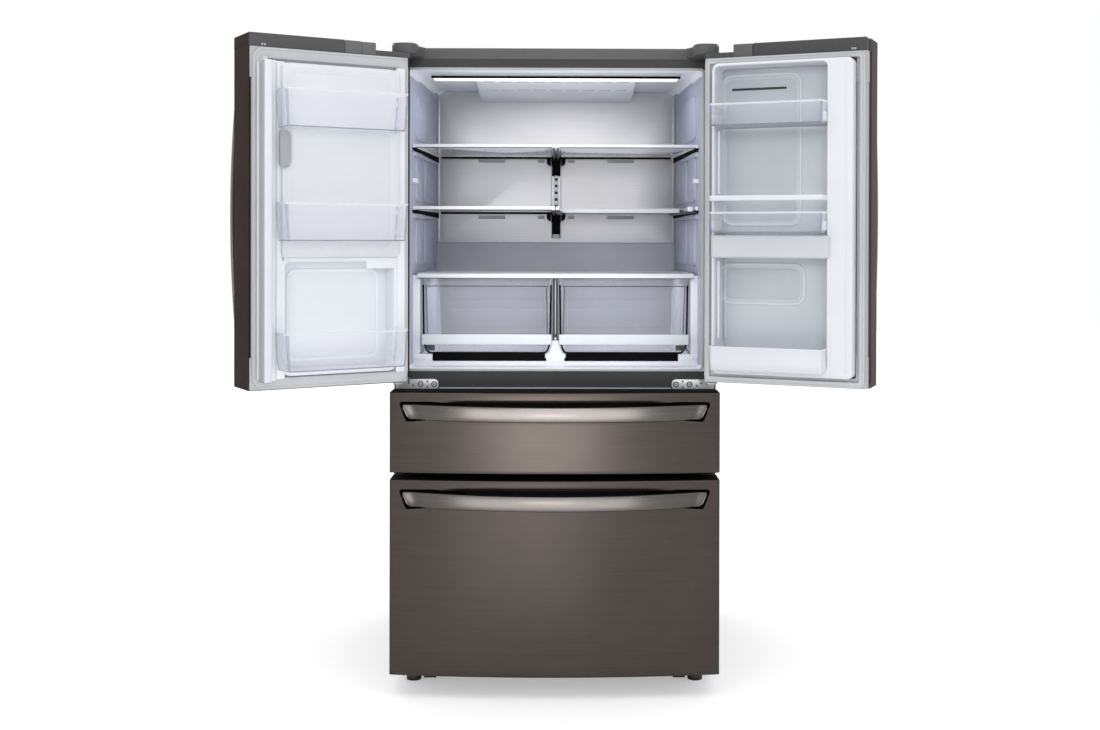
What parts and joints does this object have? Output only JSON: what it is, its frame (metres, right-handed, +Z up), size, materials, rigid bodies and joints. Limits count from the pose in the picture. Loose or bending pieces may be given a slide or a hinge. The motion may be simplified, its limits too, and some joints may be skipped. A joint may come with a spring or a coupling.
{
  "type": "french door refrigerator",
  "caption": "Free-standing french door refrigerator with bowed dark stainless fronts, side-by-side doors over a wide drawer and a deep freezer drawer, shelves, crispers and door bins.",
  "frame": {"origin": "on the floor, at the centre of the box around the whole object with both doors standing open", "axes": "+Z up, the doors face -Y, +X to the viewer's right"},
  "size_m": [1.7443, 1.1482, 1.785],
  "materials": {
    "black_stainless": "dark brushed stainless with a fingerprint-resistant coat",
    "case_paint": "dark grey paint on sheet steel",
    "dark_plastic": "moulded dark grey plastic",
    "white_liner": "vacuum-formed white liner",
    "light_plastic": "light grey moulded plastic",
    "clear_plastic": "clear moulded plastic",
    "shelf_glass": "tempered glass",
    "shelf_trim": "satin silver-grey edge trim",
    "steel_panel": "brushed stainless duct panel",
    "gasket_grey": "soft grey door seal",
    "zinc": "zinc-plated steel",
    "galvanised": "galvanised sheet steel",
    "foam": "rigid insulation foam",
    "lamp": "frosted lamp diffuser",
    "black_gloss": "black gloss plastic",
    "black_paint": "black painted steel",
    "coil_alu": "plain aluminium fins",
    "roller": "hard grey plastic roller"
  },
  "bodies": {
    "cabinet": {"case_panels": "case_paint", "back_panels": "galvanised", "base_pan": "galvanised", "front_feet": "dark_plastic", "fridge_liner": "white_liner", "lower_liner": "white_liner", "cabinet_foam": "foam", "top_covers": "dark_plastic", "door_hinges": "zinc", "screws": "zinc", "compressor": "black_paint", "heat_exchangers": "coil_alu", "service_inlets": "dark_plastic", "duct_panels": "steel_panel", "shelf_ladder": "dark_plastic", "light_bar": "lamp", "shelf_glass": "shelf_glass", "shelf_trims": "shelf_trim", "crisper_rails": "white_liner", "drawer_rails": "zinc"},
    "left_door": {"left_door_skin": "black_stainless", "left_door_caps": "dark_plastic", "left_door_liner": "white_liner", "left_door_gasket": "gasket_grey", "left_door_handle": "black_stainless", "left_door_bin": "clear_plastic", "ice_bucket": "clear_plastic", "dispenser_housing": "black_gloss"},
    "ice_door": {"ice_door": "white_liner", "ice_door_bins": "clear_plastic"},
    "ice_latch": {"ice_latch": "light_plastic"},
    "flip_mullion": {"flip_mullion": "light_plastic"},
    "dispenser_paddle": {"dispenser_paddle": "dark_plastic"},
    "right_door": {"right_frame": "white_liner", "right_door_gasket": "gasket_grey", "right_door_bins": "clear_plastic", "right_crossbars": "light_plastic"},
    "outer_door": {"right_door_skin": "black_stainless", "right_door_caps": "dark_plastic", "right_door_panel": "white_liner", "right_door_handle": "black_stainless"},
    "release_button": {"release_button": "dark_plastic"},
    "mid_drawer": {"mid_drawer_front": "black_stainless", "mid_drawer_handle": "black_stainless", "mid_drawer_bin": "white_liner", "mid_drawer_gasket": "gasket_grey"},
    "freezer_drawer": {"freezer_drawer_front": "black_stainless", "freezer_drawer_handle": "black_stainless", "freezer_drawer_bin": "white_liner", "freezer_drawer_gasket": "gasket_grey"},
    "crisper_left": {"crisper_left": "clear_plastic", "crisper_left_handle": "white_liner"},
    "crisper_right": {"crisper_right": "clear_plastic", "crisper_right_handle": "white_liner"},
    "humidity_left": {"humidity_slider_left": "light_plastic"},
    "humidity_right": {"humidity_slider_right": "light_plastic"},
    "slide_shelf": {"slide_shelf": "shelf_glass"},
    "evaporator_fan": {"evaporator_fan": "light_plastic"},
    "condenser_fan": {"condenser_fan": "dark_plastic"},
    "rear_rollers": {"rear_rollers": "roller"}
  },
  "joints": [
    {"name": "left_door_swing", "type": "hinge", "parent": "cabinet", "child": "left_door", "pos_m": [-0.436, -0.25, 1.3], "axis": [0, 0, -1], "range_deg": [-149, 0]},
    {"name": "right_door_swing", "type": "hinge", "parent": "cabinet", "child": "right_door", "pos_m": [0.436, -0.25, 1.3], "axis": [0, 0, 1], "range_deg": [-156, 0]},
    {"name": "outer_door_swing", "type": "hinge", "parent": "right_door", "child": "outer_door", "pos_m": [0.436, -0.25, 1.3], "axis": [0, 0, 1], "range_deg": [0, 28]},
    {"name": "mullion_flip", "type": "hinge", "parent": "left_door", "child": "flip_mullion", "pos_m": [-0.74323, -0.52794, 1.29], "axis": [0, 0, -1], "range_deg": [0, 90]},
    {"name": "ice_door_swing", "type": "hinge", "parent": "left_door", "child": "ice_door", "pos_m": [-0.42137, -0.32579, 1.45], "axis": [0, 0, 1], "range_deg": [0, 95]},
    {"name": "ice_latch_pull", "type": "hinge", "parent": "ice_door", "child": "ice_latch", "pos_m": [-0.67955, -0.49025, 1.479], "axis": [0, 0, 1], "range_deg": [0, 14], "stiffness_Nm_per_rad": 0.6},
    {"name": "paddle_push", "type": "hinge", "parent": "left_door", "child": "dispenser_paddle", "pos_m": [-0.62803, -0.33038, 1.236], "axis": [-0.8572, -0.515, 0], "range_deg": [0, 7], "stiffness_Nm_per_rad": 1.5},
    {"name": "release_press", "type": "slide", "parent": "outer_door", "child": "release_button", "axis": [-0.4067, -0.9135, 0], "range_m": [0, 0.003], "stiffness_N_per_m": 900},
    {"name": "mid_drawer_pull", "type": "slide", "parent": "cabinet", "child": "mid_drawer", "axis": [0, -1, 0], "range_m": [0, 0.4]},
    {"name": "freezer_drawer_pull", "type": "slide", "parent": "cabinet", "child": "freezer_drawer", "axis": [0, -1, 0], "range_m": [0, 0.4]},
    {"name": "crisper_left_pull", "type": "slide", "parent": "cabinet", "child": "crisper_left", "axis": [0, -1, 0], "range_m": [0, 0.28]},
    {"name": "crisper_right_pull", "type": "slide", "parent": "cabinet", "child": "crisper_right", "axis": [0, -1, 0], "range_m": [0, 0.28]},
    {"name": "humidity_left_slide", "type": "slide", "parent": "crisper_left", "child": "humidity_left", "axis": [1, 0, 0], "range_m": [0, 0.03]},
    {"name": "humidity_right_slide", "type": "slide", "parent": "crisper_right", "child": "humidity_right", "axis": [-1, 0, 0], "range_m": [0, 0.03]},
    {"name": "slide_shelf_pull", "type": "slide", "parent": "cabinet", "child": "slide_shelf", "axis": [0, -1, 0], "range_m": [0, 0.235]},
    {"name": "evaporator_fan_spin", "type": "hinge", "parent": "cabinet", "child": "evaporator_fan", "pos_m": [0, 0.447, 1.4], "axis": [0, 1, 0], "continuous": true},
    {"name": "condenser_fan_spin", "type": "hinge", "parent": "cabinet", "child": "condenser_fan", "pos_m": [-0.168, 0.45, 0.126], "axis": [1, 0, 0], "continuous": true},
    {"name": "rear_rollers_spin", "type": "hinge", "parent": "cabinet", "child": "rear_rollers", "pos_m": [0, 0.51, 0.017], "axis": [1, 0, 0], "continuous": true}
  ]
}
